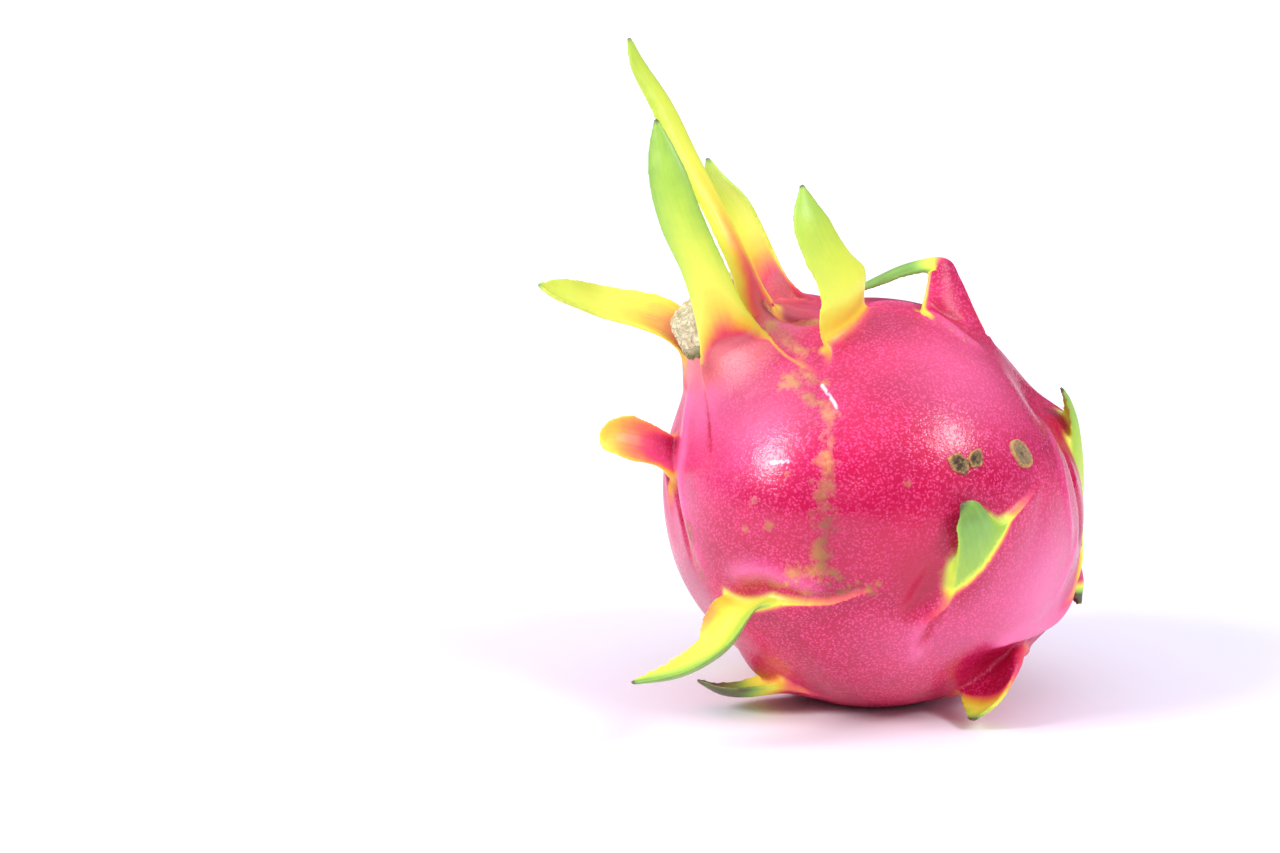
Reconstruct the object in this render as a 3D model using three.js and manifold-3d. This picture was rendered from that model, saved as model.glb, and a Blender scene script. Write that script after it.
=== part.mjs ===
// A whole dragon fruit (pitaya), lying as it does on a table. It is one grown body, whose
// peel runs out into leafy scales that point to the crown, with the corky remnant of the
// flower set in the crown and the cut end of the stalk set in the dimple opposite to it.
// Millimetres, +Z up. The origin is the middle of the flat spot that the fruit rests on,
// X runs across the view of its best side and Y away from the viewer.

import * as THREE from 'three';
import { mergeVertices } from 'three/addons/utils/BufferGeometryUtils.js';
import Module from 'manifold-3d';

const wasm = await Module();
wasm.setup();

const vec = (x, y, z) => new THREE.Vector3(x, y, z);

// ---------------------------------------------------------------- driving dimensions (mm)

const BODY_CENTRE = vec(0, 0, 45.5);
const BODY_RADII = vec(50, 49, 47.6);
const BODY_FACETS = 13;             // each edge of the icosahedron is cut into this many + 1

const CROWN_AXIS = vec(-0.62, -0.08, 0.78).normalize();   // from the stalk to the flower end
const NECK_RISE = 12;               // how far the crown stands above the round body
const NECK_SPREAD = 12;             // degrees from the crown axis at which half of it is left

const STUB_RADIUS = 11.2;           // corky flower remnant, at its widest, near its foot
const STUB_SEAT = 51.8;             // from the body's centre to its foot, along the axis
const STUB_HEIGHT = 11;
const STALK_RADIUS = 5.4;           // cut end of the stalk
const STALK_SEAT = 41.5;
const STALK_HEIGHT = 6;
const SEAT_GAP = 0.3;               // clear all round a piece that sits in the peel
const ROUND_SIDES = 28;

const THICK_ROOT = 3.4;             // thickness of a scale along its midrib
const THICK_TIP = 0.9;
const BLADE_EDGE = 0.9;             // and along its margins
const ROOT_DEPTH = 0.5;             // how far the ends of its base lie under the peel
const LIFT_OFF = 7;                 // length over which it parts from the body
const FLARE_STEPS = 6;              // rings over the peel, over the parting, and their
const LIFT_STEPS = 3;               // spacing along the free blade
const BLADE_STEP = 6;
const SOFTENINGS = 2;               // rounds of evening out the rings about the root
const ACROSS = [-1, -0.55, 0, 0.55, 1];

// Swellings (+) and hollows (-) of the body: where, how high, and how wide.
const SWELLINGS = [
  { at: [-48, -8, 40], rise: -3, spread: 24 },      // leaner left side
  { at: [-32, -14, 14], rise: -4, spread: 18 },
  { at: [40, -5, 72], rise: -5.5, spread: 16 },     // and upper right shoulder
  { at: [-22, -38, 56], rise: 2.4, spread: 16 },    // cushions under the scales' roots
  { at: [14, -38, 66], rise: 1.6, spread: 20 },
  { at: [30, -38, 26], rise: 1.6, spread: 14 },
  { at: [-10, -44, 60], rise: -1.6, spread: 6 },    // furrow between the cushions
  { at: [-10, -47, 46], rise: -1.6, spread: 6 },
  { at: [-8, -46, 34], rise: -1.5, spread: 6 },
  { at: [10, -46, 34], rise: -2.4, spread: 7 },
  { at: [27, -33, 12], rise: -1.6, spread: 7 },
  { at: [30, 4, 8], rise: -4, spread: 11 },         // dimple of the stalk
  { at: [45, 8, 61], rise: 4.5, spread: 8 },        // bulges beside the scales of the right
  { at: [46, -8, 20], rise: 2, spread: 11 },      // side and the low one on the left
  { at: [-28, -15, 6], rise: 2.8, spread: 8 },
];

// The scales of the best side. A midrib point is x, y, z, then the scale's half-width there.
// `left` and `right` carry the margins on over the peel, as low ridges, seen from outside
// with the crown upwards: mm to the left of the root, then mm from it towards the stalk.
// `drop` is how far the base runs down between them, `ridge` how high it stands, `turn` how
// many degrees the root is turned on the peel, and `cup` how deeply the blade's margins bend
// towards the crown.
const SHOWN_SCALES = [
  // the tall pair in front of the flower remnant
  { turn: 0, drop: 16, ridge: 1.5, cup: 0.25,
    left: [[2.5, -3.5], [8.5, 0], [16, 6]],
    right: [[-2.5, 0], [-1, 4], [-3.5, 7.5], [-7, 10.5]],
    midrib: [[-25, -13, 92.5, 6.5], [-28.5, -13, 100, 4], [-32, -13, 107.5, 3.5],
             [-36.5, -10, 116.5, 3.5], [-42, -8, 126.5, 4], [-47.5, -6, 138, 3.5],
             [-53, -6, 147, 2.5], [-55.5, -7, 153.5, 0.5]] },
  { turn: -10, drop: 14, ridge: 2, cup: 0.3,
    left: [[9, 0], [10.5, 6], [13, 14.5]],
    right: [[-11, 5.5], [-14.5, 10], [-18, 14.5], [-21, 18.5], [-22.5, 24]],
    midrib: [[-31, -16, 82.5, 8.5], [-35, -21, 92, 6], [-39, -24, 103, 5],
             [-44, -25, 114, 5], [-47, -24, 123.5, 4.5], [-48.5, -22, 130, 3],
             [-49.5, -20, 136.5, 0.5]] },
  // the long one to the left of the crown
  { turn: 20, drop: 14, ridge: 1.4, cup: 0.3,
    left: [[12, 3], [18, 12]],
    right: [[-8.5, 3], [-13.5, 4], [-20, 3]],
    midrib: [[-42, 4, 83.5, 9.5], [-48, 4, 86.5, 9], [-53, 5, 88, 8.5], [-62, 6, 90, 7.5],
             [-68.5, 4, 92.5, 6], [-73.5, 2, 94.5, 4], [-76.5, 1, 96.5, 0.5]] },
  // behind the flower remnant
  { turn: 0, drop: 14, ridge: 1.6, cup: 0.35,
    left: [[12, 3], [20, 12]],
    right: [[-12, 3], [-20, 12]],
    midrib: [[-19, 6, 92, 8], [-22.5, 11, 98.5, 6.5], [-26, 13, 105.5, 7],
             [-30, 14, 113.5, 6.5], [-34.5, 14, 119, 4.5], [-37.5, 13, 124.5, 0.5]] },
  // the broad one on the middle of the shoulder
  { turn: -12, drop: 14, ridge: 2, cup: 0.3,
    left: [[7.5, 0], [11, 2.5], [16, 3.5]],
    right: [[-11, -2], [-14.5, 0], [-20, 3], [-22.5, 9.5]],
    midrib: [[-6.5, -20, 89.5, 8.5], [-6, -25, 98, 9], [-9, -27, 104, 6.5],
             [-12, -28, 109, 6], [-15, -28, 115.5, 5], [-17.5, -25, 122.5, 0.5]] },
  // the folded one on the right shoulder, its tip lying over to the left
  { turn: -75, drop: 10, ridge: 1.8, cup: 0.3,
    left: [[6.5, 2], [2, 7]],
    right: [[-12, -5], [-18, 2]],
    midrib: [[18.5, -8, 89, 9], [18, -5, 94, 6.5], [17, -3, 98.5, 4.5], [16.5, -2, 101.5, 3],
             [14, -1, 102, 2.5], [7.5, -1, 100.5, 2], [0, -2, 97.5, 1]] },
  // down the right side
  { turn: 0, drop: 13, ridge: 1.8, cup: 0.55,
    left: [[9, 3], [16, 9], [24, 16]],
    right: [[-12, 3], [-18, 9]],
    midrib: [[48.5, 3, 36, 6.5], [49.5, 3, 45.5, 6], [49.5, 3, 54.5, 5.5], [48.5, 3, 63, 4],
             [46.5, 1, 69, 2], [44, -2, 73, 0.5]] },
  { turn: 180, drop: 8, ridge: 1.2, cup: 0.85,
    left: [[7, 3], [8, 8]],
    right: [[-7, 3], [-8, 8]],
    midrib: [[48.5, 3, 33, 5.5], [51, 3, 30, 5], [51, 3, 26.5, 4], [50.5, 3, 23, 3],
             [50.5, 2, 20.5, 1]] },
  // the flat flap facing the viewer, low on the right
  { turn: 10, drop: 13, ridge: 2.2, cup: 0.15,
    left: [[12.5, 2.5], [18, 2.5], [21, 2], [26, 4.5]],
    right: [[-10, -0.5], [-15, 1], [-20.5, 3], [-27.5, 5.5]],
    midrib: [[21, -44, 43, 9.5], [21, -47.5, 47, 6], [19.5, -49.5, 51, 5],
             [18, -50.5, 54.5, 3.5], [16, -51, 56.5, 0.5]] },
  // the one that reaches out to the lower left
  { turn: -25, drop: 13, ridge: 2.2, cup: 0.75,
    left: [[8, 4], [9, 11]],
    right: [[-8.5, -2], [-15, -1.5], [-24, -0.5], [-35, -2.5], [-49, -2.5]],
    midrib: [[-30, -37, 30.5, 7], [-33.5, -44, 25, 5.5], [-37.5, -48, 21.5, 4],
             [-45, -50, 18, 3], [-55, -50, 16, 0.5]] },
  // the two low ones at the table
  { turn: 0, drop: 12, ridge: 1.2, cup: 0.3,
    left: [[12, 4], [18, 12]],
    right: [[-9, 1], [-13, 8]],
    midrib: [[-19.5, -14, 4, 8.5], [-26.5, -16, 4, 7.5], [-34, -17, 4.5, 5.5],
             [-40, -17, 7.5, 0.5]] },
  { turn: 0, drop: 12, ridge: 1.8, cup: 0.3,
    left: [[13.5, 5.5], [18, 5.5], [22.5, 0]],
    right: [[-8, 6.5], [-15, 7.5], [-21, 8]],
    midrib: [[29, -22, 10.5, 10], [27, -27, 7.5, 8.5], [24.5, -30, 4.5, 6], [21.5, -33, 2.5, 1]] },
  // the curled one on the left, under the crown
  { turn: -50, drop: 12, ridge: 1.8, cup: 0.5,
    left: [[7.5, 3], [9, 12]],
    right: [[-8, 3], [-12, 12]],
    midrib: [[-47.5, -10, 58, 5.5], [-51, -14, 61, 5], [-55.5, -16, 62.5, 6],
             [-59, -17, 63.5, 4.5], [-61.5, -17, 63, 1]] },
];

// The scales of the far side follow the same spiral: degrees from the crown, degrees round
// it from the viewer, length, half-width, and how far the blade lifts off and curls back.
const FAR_SCALES = [
  { fromCrown: 45, round: 170, length: 17, half: 6.5, lift: 12, curl: 20 },
  { fromCrown: 66, round: -162, length: 24, half: 8, lift: 28, curl: -30 },
  { fromCrown: 80, round: 165, length: 24, half: 8, lift: 28, curl: 5 },
  { fromCrown: 96, round: -150, length: 25, half: 9, lift: 35, curl: -25 },
  { fromCrown: 114, round: 132, length: 17, half: 7, lift: 16, curl: -10 },
  { fromCrown: 108, round: -112, length: 16, half: 6, lift: 30, curl: -10 },
  { fromCrown: 124, round: 176, length: 22, half: 8.5, lift: 40, curl: 25 },
  { fromCrown: 146, round: 150, length: 13, half: 5.5, lift: 35, curl: 20 },
];

// ---------------------------------------------------------------- the peel of the body

// Distance of the peel from the body's centre in a direction.
const towards = (d) => {
  const round = 1 / vec(d.x / BODY_RADII.x, d.y / BODY_RADII.y, d.z / BODY_RADII.z).length();
  const offAxis = THREE.MathUtils.radToDeg(d.angleTo(CROWN_AXIS));
  let reach = round + NECK_RISE * Math.exp(-Math.LN2 * (offAxis / NECK_SPREAD) ** 2);
  for (const { at, rise, spread } of SWELLINGS) {
    const middle = vec(...at).sub(BODY_CENTRE);
    const away = d.angleTo(middle) * middle.length();
    reach += rise * Math.exp(-((away / spread) ** 2));
  }
  return reach;
};

// The point of the peel over (or under) a place, raised by a height.
const onPeel = (place, height) => {
  const d = place.clone().sub(BODY_CENTRE).normalize();
  return d.clone().multiplyScalar(towards(d) + height).add(BODY_CENTRE);
};

const bodyGeometry = () => {
  const geometry = new THREE.IcosahedronGeometry(1, BODY_FACETS);
  const position = geometry.attributes.position;
  for (let i = 0; i < position.count; i++) {
    const p = onPeel(vec().fromBufferAttribute(position, i).add(BODY_CENTRE), 0);
    position.setXYZ(i, p.x, p.y, p.z);
  }
  return geometry;
};

// ---------------------------------------------------------------- scales

const smooth = (x) => {
  const c = THREE.MathUtils.clamp(x, 0, 1);
  return c * c * (3 - 2 * c);
};

const curveThrough = (points) => new THREE.CatmullRomCurve3(points, false, 'catmullrom');

// A scale of the far side, as a short midrib that leaves the peel and bends evenly.
const farScale = ({ fromCrown, round, length, half, lift, curl }) => {
  const front = vec(0, -1, 0).projectOnPlane(CROWN_AXIS).normalize();
  const d = CROWN_AXIS.clone()
    .applyAxisAngle(front.clone().cross(CROWN_AXIS).normalize(), THREE.MathUtils.degToRad(-fromCrown))
    .applyAxisAngle(CROWN_AXIS, THREE.MathUtils.degToRad(round));
  const up = CROWN_AXIS.clone().projectOnPlane(d).normalize();
  const place = onPeel(d.clone().add(BODY_CENTRE), 0);
  const midrib = [[...place.toArray(), half]];
  const narrowing = [0.82, 0.62, 0.4, 0.05];
  narrowing.forEach((share, i) => {
    const rise = THREE.MathUtils.degToRad(lift + curl * i / narrowing.length);
    place.addScaledVector(up, length / narrowing.length * Math.cos(rise))
      .addScaledVector(d, length / narrowing.length * Math.sin(rise));
    midrib.push([...place.toArray(), half * share]);
  });
  const margin = [[half + 4, 2], [half + 11, 9]];
  return { turn: 0, drop: 13, ridge: 1.5, cup: 0.35, midrib,
           left: margin, right: margin.map(([across, down]) => [-across, down]) };
};

// Rings drawn towards the middle between their neighbours, each by its own softness.
const softened = (rings, softness) => rings.map((ring, r) => {
  const before = rings[Math.max(r - 1, 0)];
  const after = rings[Math.min(r + 1, rings.length - 1)];
  const share = r > 0 && r < rings.length - 1 ? softness[r] : 0;
  return ring.map((p, i) => p.clone().lerp(before[i].clone().lerp(after[i], 0.5), share));
});

// A scale is lofted through rings: first over the peel, between its two margins, and then
// along its midrib, cupped towards the crown and thinner to the tip.
const scaleGeometry = ({ midrib, left, right, drop, ridge, cup, turn }) => {
  const rib = curveThrough(midrib.map(([x, y, z]) => vec(x, y, z)));
  const widths = curveThrough(midrib.map(([, , , half], i) => vec(half, i, 0)));
  const length = rib.getLength();
  const root = rib.getPoint(0);
  const rootHalf = midrib[0][3];
  const out = root.clone().sub(BODY_CENTRE).normalize();
  const up = CROWN_AXIS.clone().projectOnPlane(out).normalize()
    .applyAxisAngle(out, THREE.MathUtils.degToRad(turn));
  const leftward = out.clone().cross(up);
  const margins = [
    curveThrough([[rootHalf, 0], ...left].map(([across, down]) => vec(across, down, 0))),
    curveThrough([[-rootHalf, 0], ...right].map(([across, down]) => vec(across, down, 0))),
  ];
  const ringOf = (point) => [
    ...ACROSS.map((v) => point(v, 1)),
    ...ACROSS.map((v) => point(-v, -1)),
  ];
  const beside = (across, down) => root.clone()
    .addScaledVector(leftward, across)
    .addScaledVector(up, -down);

  let rings = [];
  const softness = [];              // how freely each ring gives way to its neighbours
  for (let i = 0; i < FLARE_STEPS; i++) {
    const x = 1 - i / FLARE_STEPS;
    softness.push(smooth(1 - x / 0.45));
    const [l, r] = margins.map((line) => line.getPointAt(x));
    const between = (v) => beside(
      (v * v + v) / 2 * l.x + (v * v - v) / 2 * r.x,
      (1 - v * v) * drop * x + (v * v + v) / 2 * l.y + (v * v - v) / 2 * r.y);
    const middle = ridge * (1 - x) - ROOT_DEPTH * x;
    const edge = ridge * (1 - x) ** 0.8 - ROOT_DEPTH * x;
    rings.push(ringOf((v, face) => {
      const crest = THREE.MathUtils.lerp(middle, edge, v * v);
      return onPeel(between(v), face > 0 ? crest : crest - THICK_ROOT - 1);
    }));
  }

  const freeSteps = Math.max(3, Math.round((length - LIFT_OFF) / BLADE_STEP));
  const stations = [];
  for (let i = 0; i < LIFT_STEPS; i++) {
    stations.push(LIFT_OFF * i / LIFT_STEPS);
  }
  for (let i = 0; i <= freeSteps; i++) {
    stations.push(THREE.MathUtils.lerp(LIFT_OFF, length, i / freeSteps));
  }
  const side = leftward.clone();
  for (const q of stations) {
    const s = THREE.MathUtils.clamp(q / length, 0, 1);
    const along = rib.getTangentAt(s);
    const across = side.projectOnPlane(along).normalize().clone();
    const outer = along.clone().cross(across);
    const half = Math.max(widths.getPoint(rib.getUtoTmapping(s)).x, 0.3);
    const thick = THREE.MathUtils.lerp(THICK_ROOT, THICK_TIP, Math.sqrt(s));
    const middle = rib.getPointAt(s);
    softness.push(smooth(1.5 - q / 8));
    rings.push(ringOf((v, face) => {
      const thickness = THREE.MathUtils.lerp(thick, BLADE_EDGE, v * v);
      const blade = middle.clone()
        .addScaledVector(across, v * half)
        .addScaledVector(outer, face * thickness / 2 - cup * half * v * v);
      const hugging = onPeel(beside(v * half, -q), face > 0 ? ridge : ridge - thick - 1);
      return hugging.lerp(blade, smooth(q / LIFT_OFF));
    }));
  }
  for (let i = 0; i < SOFTENINGS; i++) {
    rings = softened(rings, softness);
  }
  return loft(rings);
};

// A closed skin over a row of rings with equally many points, capped at both ends.
const loft = (rings) => {
  const n = rings[0].length;
  const index = [];
  for (let r = 0; r + 1 < rings.length; r++) {
    for (let i = 0; i < n; i++) {
      const a = r * n + i;
      const b = r * n + (i + 1) % n;
      index.push(a, b + n, b);
      index.push(a, a + n, b + n);
    }
  }
  const last = (rings.length - 1) * n;
  for (let i = 0; i < n / 2 - 1; i++) {
    const [a, b, c, d] = [i, i + 1, n - 2 - i, n - 1 - i];
    index.push(a, b, c);
    index.push(a, c, d);
    index.push(last + a, last + c, last + b);
    index.push(last + a, last + d, last + c);
  }
  const geometry = new THREE.BufferGeometry().setFromPoints(rings.flat());
  geometry.setIndex(index);
  return geometry;
};

// ---------------------------------------------------------------- pieces set in the peel

// A lathed piece, its own axis (+Y of the profile) turned to a direction from the centre.
const seated = (profile, direction) => {
  const outline = profile.map(([r, h]) => new THREE.Vector2(r, h));
  const turn = new THREE.Quaternion().setFromUnitVectors(vec(0, 1, 0), direction);
  return new THREE.LatheGeometry(outline, ROUND_SIDES)
    .applyQuaternion(turn)
    .translate(...BODY_CENTRE.toArray());
};

// The remnant stands a little above the neck and is hollow at its top, where the withered
// flower has dropped off.
const stubGeometry = () => {
  const top = STUB_SEAT + STUB_HEIGHT;
  return seated([
    [0, STUB_SEAT], [STUB_RADIUS - 0.9, STUB_SEAT], [STUB_RADIUS, STUB_SEAT + 2.6],
    [STUB_RADIUS - 0.8, top - 4.6], [STUB_RADIUS - 1.6, top - 1], [STUB_RADIUS - 2.9, top],
    [STUB_RADIUS - 5, top - 1.8], [0, top - 2.8],
  ], CROWN_AXIS);
};

const STALK_AXIS = CROWN_AXIS.clone().negate();

const stalkGeometry = () => {
  const end = STALK_SEAT + STALK_HEIGHT;
  return seated([
    [0, STALK_SEAT], [STALK_RADIUS - 0.6, STALK_SEAT], [STALK_RADIUS, end - 1],
    [STALK_RADIUS - 1, end], [0, end - 0.4],
  ], STALK_AXIS);
};

// The seat is a plain round hole that keeps clear of the piece, also above the peel.
const seatGeometry = (radius, seat, height, direction) => seated([
  [0, seat - SEAT_GAP], [radius + SEAT_GAP, seat - SEAT_GAP],
  [radius + SEAT_GAP, seat + height + SEAT_GAP], [0, seat + height + SEAT_GAP],
], direction);

// ---------------------------------------------------------------- joining and cutting

const solidOf = (geometry) => {
  const bare = geometry.clone();
  bare.deleteAttribute('normal');
  bare.deleteAttribute('uv');
  const merged = mergeVertices(bare, 1e-4);
  return new wasm.Manifold(new wasm.Mesh({
    numProp: 3,
    vertProperties: new Float32Array(merged.attributes.position.array),
    triVerts: new Uint32Array(merged.index.array),
  }));
};

const geometryOf = (solid) => {
  const { vertProperties, triVerts } = solid.getMesh();
  const geometry = new THREE.BufferGeometry();
  geometry.setAttribute('position', new THREE.BufferAttribute(vertProperties, 3));
  geometry.setIndex(new THREE.BufferAttribute(triVerts, 1));
  return geometry;
};

// Where scales lie on each other they can seal off a pocket of air or cut a scrap loose; the
// outermost shell alone is the fruit with its pockets filled and without the scraps.
const outerShell = (solid) => solid.decompose()
  .reduce((best, shell) => (shell.volume() > best.volume() ? shell : best));

const fruitGeometry = () => {
  const scales = [...SHOWN_SCALES, ...FAR_SCALES.map(farScale)];
  const floor = new THREE.BoxGeometry(300, 300, 100).translate(0, 0, -50);
  const stubSeat = seatGeometry(STUB_RADIUS, STUB_SEAT, STUB_HEIGHT, CROWN_AXIS);
  const stalkSeat = seatGeometry(STALK_RADIUS, STALK_SEAT, STALK_HEIGHT, STALK_AXIS);
  let fruit = solidOf(bodyGeometry());
  for (const scale of scales) {
    fruit = fruit.add(solidOf(scaleGeometry(scale)));
  }
  for (const cut of [floor, stubSeat, stalkSeat]) {
    fruit = fruit.subtract(solidOf(cut));
  }
  return geometryOf(outerShell(fruit));
};

// ---------------------------------------------------------------- the part

const part = new THREE.Group();

const addPiece = (name, geometry, color, roughness) => {
  const material = new THREE.MeshStandardMaterial({ color, roughness, metalness: 0 });
  const mesh = new THREE.Mesh(geometry, material);
  mesh.name = name;
  part.add(mesh);
};

addPiece('fruit', fruitGeometry(), '#dc1d6b', 0.42);              // waxy magenta peel
addPiece('flower_stub', stubGeometry(), '#d3c49b', 0.85);         // dry cork
addPiece('stalk_end', stalkGeometry(), '#8c7a4f', 0.8);           // woody, callused

export default part;
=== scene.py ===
import math

import bmesh
import bpy
import numpy as np
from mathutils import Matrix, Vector


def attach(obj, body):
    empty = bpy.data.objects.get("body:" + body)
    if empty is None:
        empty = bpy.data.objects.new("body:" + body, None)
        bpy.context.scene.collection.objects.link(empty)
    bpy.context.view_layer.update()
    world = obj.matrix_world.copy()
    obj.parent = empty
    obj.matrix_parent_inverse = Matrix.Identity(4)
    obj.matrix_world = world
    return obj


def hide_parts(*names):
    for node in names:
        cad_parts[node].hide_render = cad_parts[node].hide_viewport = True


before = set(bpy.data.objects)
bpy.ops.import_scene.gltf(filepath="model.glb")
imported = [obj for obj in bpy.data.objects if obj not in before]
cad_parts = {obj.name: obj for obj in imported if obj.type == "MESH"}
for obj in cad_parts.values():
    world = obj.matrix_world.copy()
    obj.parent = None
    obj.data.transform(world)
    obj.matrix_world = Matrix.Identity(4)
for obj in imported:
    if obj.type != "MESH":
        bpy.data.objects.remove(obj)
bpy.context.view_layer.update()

# ---------------------------------------------------------------------------------------
# Studio. A white room: a bright ceiling over a darker horizon, and two broad, far softboxes
# from the upper left and right, whose reflections are the soft highlights on the wax. They
# are so far off that they light the plain pale floor evenly.

MM = 0.001                                     # sizes are given in millimetres
LENS = 85.0                                    # on a sensor 36 mm wide
EYE = Vector((-53.0, -686.8, 196.9)) * MM      # 0.7 m away and 11 degrees above the level
AIM = Vector((-53.0, 3.3, 62.8)) * MM
SOFTBOXES = (              # degrees round from the viewer, degrees up, degrees wide, strength
    ("softbox_left", -66.0, 35.0, 23.0, 2.1),
    ("softbox_right", 52.0, 43.0, 19.0, 1.4),
)
CEILING, HORIZON = 1.42, 0.10                  # brightness of the room overhead and level
CEILING_FADE = 1.6                             # how soon it darkens on the way down
FLOOR_HALF = 8000.0                            # from the floor's middle to its sides


def linear(sheet_hex, alpha=1.0):
    """An sRGB hex colour as the linear RGBA that sockets take."""
    channels = [int(sheet_hex[i:i + 2], 16) / 255 for i in (1, 3, 5)]
    return [c / 12.92 if c <= 0.04045 else ((c + 0.055) / 1.055) ** 2.4 for c in channels] + [alpha]


def node(tree, kind, inputs=(), output=None, **settings):
    """Adds a node and gives it, or one of its outputs. The inputs, by name or number or in a row
    from the first, take values or other nodes' outputs."""
    made = tree.nodes.new(kind)
    for name, value in settings.items():
        setattr(made, name, value)
    for key, value in inputs.items() if isinstance(inputs, dict) else enumerate(inputs):
        if isinstance(value, bpy.types.NodeSocket):
            tree.links.new(value, made.inputs[key])
        else:
            made.inputs[key].default_value = value
    return made if output is None else made.outputs[output]


def new_material(mesh, name, constants):
    """Gives a mesh a material whose shader has these constants; returns its tree and shader."""
    made = bpy.data.materials.new(name)
    made.use_nodes = True
    mesh.materials.append(made)
    shader = made.node_tree.nodes["Principled BSDF"]
    for socket, value in constants.items():
        shader.inputs[socket].default_value = value
    return made.node_tree, shader


def linked(name, data):
    """An object with this data, linked to the scene."""
    made = bpy.data.objects.new(name, data)
    bpy.context.collection.objects.link(made)
    return made


camera_data = bpy.data.cameras.new("camera")
camera_data.lens = LENS
camera_data.sensor_width = 36.0
camera = linked("camera", camera_data)
camera.location = EYE
camera.rotation_euler = (AIM - EYE).to_track_quat("-Z", "Y").to_euler()
bpy.context.scene.camera = camera
bpy.context.scene.view_settings.view_transform = "Standard"

world = bpy.data.worlds.new("white_room")
world.use_nodes = True
room = world.node_tree
look = node(room, "ShaderNodeTexCoord", output="Generated")
rising = node(room, "ShaderNodeSeparateXYZ", [look], "Z")
upward = node(room, "ShaderNodeMath", [rising, 0.0], 0, operation="MAXIMUM")
overhead = node(room, "ShaderNodeMath", [upward, CEILING_FADE], 0, operation="POWER")
glow = node(room, "ShaderNodeMath", [overhead, CEILING - HORIZON, HORIZON], 0, operation="MULTIPLY_ADD")
room.nodes["Background"].inputs["Color"].default_value = linear("#EFECFF")
room.links.new(glow, room.nodes["Background"].inputs["Strength"])
bpy.context.scene.world = world

for name, around, above, width, strength in SOFTBOXES:
    light_data = bpy.data.lights.new(name, "SUN")
    light_data.angle = math.radians(width)
    light_data.energy = strength
    light = linked(name, light_data)
    around, above = math.radians(around), math.radians(above)
    level = math.cos(above)         # how far off it stands over the floor, and below, how high
    light.location = (math.sin(around) * level, -math.cos(around) * level, math.sin(above))
    light.rotation_euler = light.location.to_track_quat("Z", "Y").to_euler()

# White board: matt, with a breath of blue.
floor_mesh = bpy.data.meshes.new("floor")
corners = [(x * FLOOR_HALF * MM, y * FLOOR_HALF * MM, 0) for x, y in ((-1, -1), (1, -1), (1, 1), (-1, 1))]
floor_mesh.from_pydata(corners, [], [(0, 1, 2, 3)])
floor = linked("floor", floor_mesh)
new_material(floor_mesh, "white_board", {"Base Color": linear("#F8F8FF"), "Roughness": 0.7})

# ---------------------------------------------------------------------------------------
# Fruit. The round body and its leafy scales grew as one piece: each scale's root runs over
# the peel as two low ridges and flows into it. The body and the scales are modelled apart,
# in millimetres, fused by a fine voxel remesh, and eased where they meet.

BODY_CENTRE = np.array((0.0, 0.0, 45.5))
BODY_RADII = np.array((50.0, 49.0, 47.6))
CROWN_AXIS = np.array((-0.62, -0.08, 0.78)) / np.linalg.norm((-0.62, -0.08, 0.78))
NECK_RISE = 12.0                # how far the crown stands above the round body
NECK_SPREAD = 12.0              # degrees from the crown axis at which half of it is left
SWELLINGS = (                   # where, how high (hollows below zero) and how wide
    ((-48, -8, 40), -3.0, 24), ((-32, -14, 14), -4.0, 18), ((40, -5, 72), -5.5, 16),
    ((-22, -38, 56), 2.4, 16), ((14, -38, 66), 1.6, 20), ((30, -38, 26), 1.6, 14),
    ((-10, -44, 60), -1.6, 6), ((-10, -47, 46), -1.6, 6), ((-8, -46, 34), -1.5, 6),
    ((10, -46, 34), -2.4, 7), ((27, -33, 12), -1.6, 7), ((30, 4, 8), -4.0, 11),
    ((45, 8, 61), 4.5, 8), ((46, -8, 20), 2.0, 11), ((-28, -15, 6), 2.8, 8),
)
THICK_ROOT, THICK_TIP, BLADE_EDGE = 3.4, 0.9, 0.9
ROOT_DEPTH = 0.5                # how deep a root's end lies in the body
LIFT_OFF = 7.0                  # length over which a blade comes off the peel
VOXEL = 0.42
MOST_TRIANGLES = 190_000


def unit(v):
    """v at length 1."""
    return v / np.linalg.norm(v, axis=-1, keepdims=True)


def smooth(x):
    """0 below 0, 1 above 1, and an S-curve between them."""
    c = np.clip(x, 0, 1)
    return c * c * (3 - 2 * c)


def towards(d):
    """Distance of the peel from the body's centre in the directions d."""
    off_axis = np.degrees(np.arccos(np.clip(d @ CROWN_AXIS, -1, 1)))
    reach = 1 / np.linalg.norm(d / BODY_RADII, axis=-1)
    reach = reach + NECK_RISE * np.exp(-math.log(2) * (off_axis / NECK_SPREAD) ** 2)
    for at, rise, spread in SWELLINGS:
        middle = np.array(at) - BODY_CENTRE
        far = np.linalg.norm(middle)
        away = np.arccos(np.clip(d @ (middle / far), -1, 1)) * far
        reach = reach + rise * np.exp(-((away / spread) ** 2))
    return reach


def on_peel(place, height=0.0):
    """The points of the peel over places, raised by a height."""
    d = unit(np.asarray(place, float) - BODY_CENTRE)
    return BODY_CENTRE + d * (towards(d) + height)[..., None]


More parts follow.
